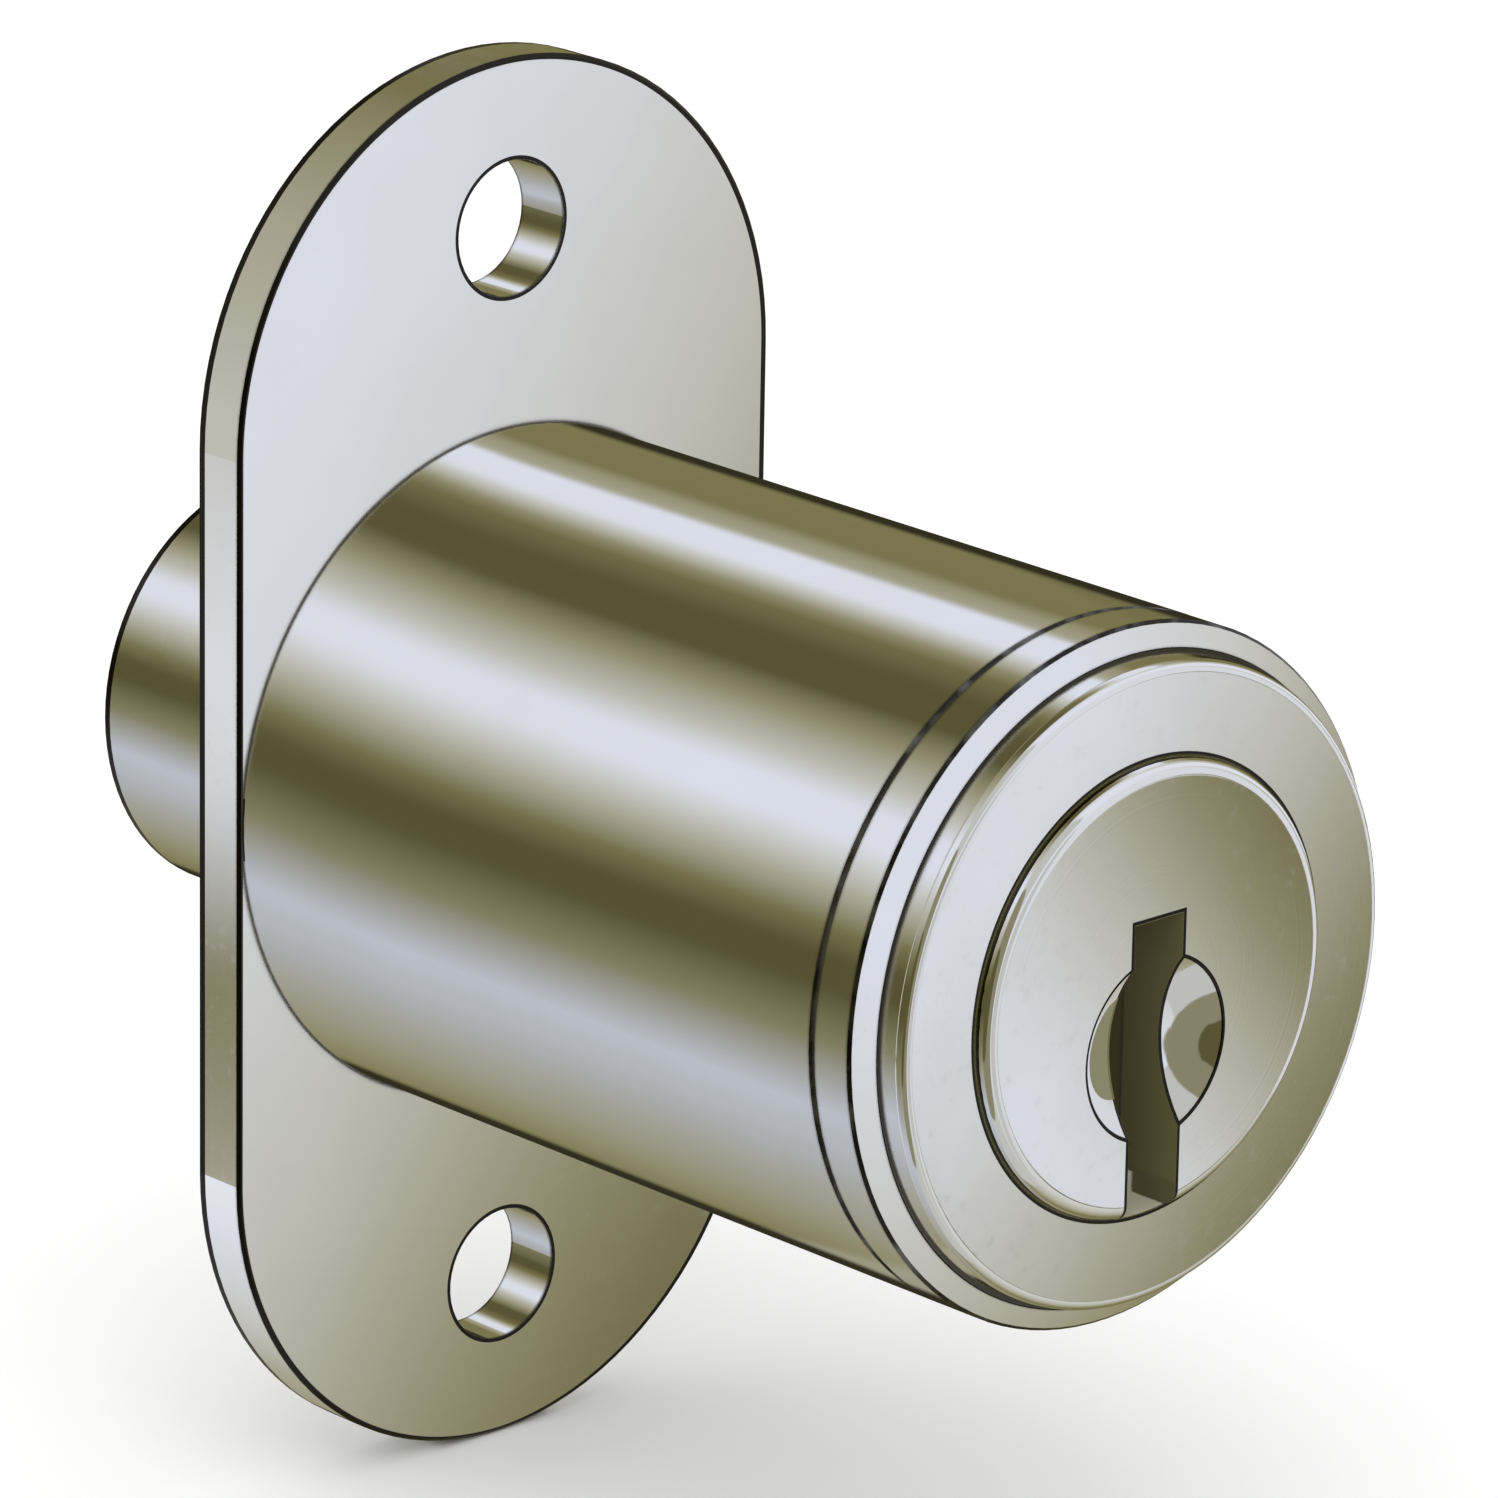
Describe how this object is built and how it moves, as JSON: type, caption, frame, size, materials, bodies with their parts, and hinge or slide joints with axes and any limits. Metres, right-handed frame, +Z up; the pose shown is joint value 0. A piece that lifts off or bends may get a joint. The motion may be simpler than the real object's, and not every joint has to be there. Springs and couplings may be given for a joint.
{
  "type": "plunger lock",
  "caption": "Push lock for a sliding door: round barrel on an oval screw flange, key-operated plunger in front, round bolt behind.",
  "frame": {"origin": "on the barrel's axis, in the flange's front face, midway between the two screw holes", "axes": "-Y along the barrel to its mouth, +Z up along the long flange, +X to the right seen from the front"},
  "size_m": [0.0222, 0.0412, 0.046],
  "materials": {
    "nickel": "polished nickel plate",
    "steel": "turned bright steel",
    "spring_steel": "drawn spring wire",
    "brass": "stamped brass"
  },
  "bodies": {
    "housing": {"housing": "nickel", "front_collar": "nickel", "guide_pin": "steel", "return_spring": "spring_steel"},
    "plunger": {"plunger": "nickel", "bolt": "nickel", "bolt_pin": "steel", "catch_spring": "spring_steel"},
    "core": {"core": "nickel", "core_driver": "steel", "driver_screw": "steel", "lock_washer": "spring_steel", "wafer_springs": "spring_steel"},
    "catch": {"catch": "steel"},
    "wafer_1": {"wafer_1": "brass"},
    "wafer_2": {"wafer_2": "brass"},
    "wafer_3": {"wafer_3": "brass"},
    "wafer_4": {"wafer_4": "brass"},
    "wafer_5": {"wafer_5": "brass"},
    "wafer_6": {"wafer_6": "brass"}
  },
  "joints": [
    {"name": "plunger_slide", "type": "slide", "parent": "housing", "child": "plunger", "axis": [0, -1, 0], "range_m": [0, 0.01], "deforming": ["return_spring"]},
    {"name": "core_turn", "type": "hinge", "parent": "plunger", "child": "core", "pos_m": [0, 0, 0], "axis": [0, 1, 0], "range_deg": [0, 90]},
    {"name": "catch_slide", "type": "slide", "parent": "plunger", "child": "catch", "axis": [0, 0, -1], "range_m": [0, 0.0012], "deforming": ["catch_spring"]},
    {"name": "wafer_1_slide", "type": "slide", "parent": "core", "child": "wafer_1", "axis": [0, 0, 1], "range_m": [0, 0.0006], "deforming": ["wafer_springs"]},
    {"name": "wafer_2_slide", "type": "slide", "parent": "core", "child": "wafer_2", "axis": [0, 0, 1], "range_m": [0, 0.00039]},
    {"name": "wafer_3_slide", "type": "slide", "parent": "core", "child": "wafer_3", "axis": [0, 0, 1], "range_m": [0, 0.00051]},
    {"name": "wafer_4_slide", "type": "slide", "parent": "core", "child": "wafer_4", "axis": [0, 0, 1], "range_m": [0, 0.0003]},
    {"name": "wafer_5_slide", "type": "slide", "parent": "core", "child": "wafer_5", "axis": [0, 0, 1], "range_m": [0, 0.0006]},
    {"name": "wafer_6_slide", "type": "slide", "parent": "core", "child": "wafer_6", "axis": [0, 0, 1], "range_m": [0, 0.00042]}
  ],
  "couplings": [
    {"joint": "core_turn", "follows": "catch_slide", "rad_per_m": 1309},
    {"joint": "wafer_2_slide", "follows": "wafer_1_slide", "ratio": 0.65},
    {"joint": "wafer_3_slide", "follows": "wafer_1_slide", "ratio": 0.85},
    {"joint": "wafer_4_slide", "follows": "wafer_1_slide", "ratio": 0.5},
    {"joint": "wafer_5_slide", "follows": "wafer_1_slide", "ratio": 1},
    {"joint": "wafer_6_slide", "follows": "wafer_1_slide", "ratio": 0.7}
  ]
}
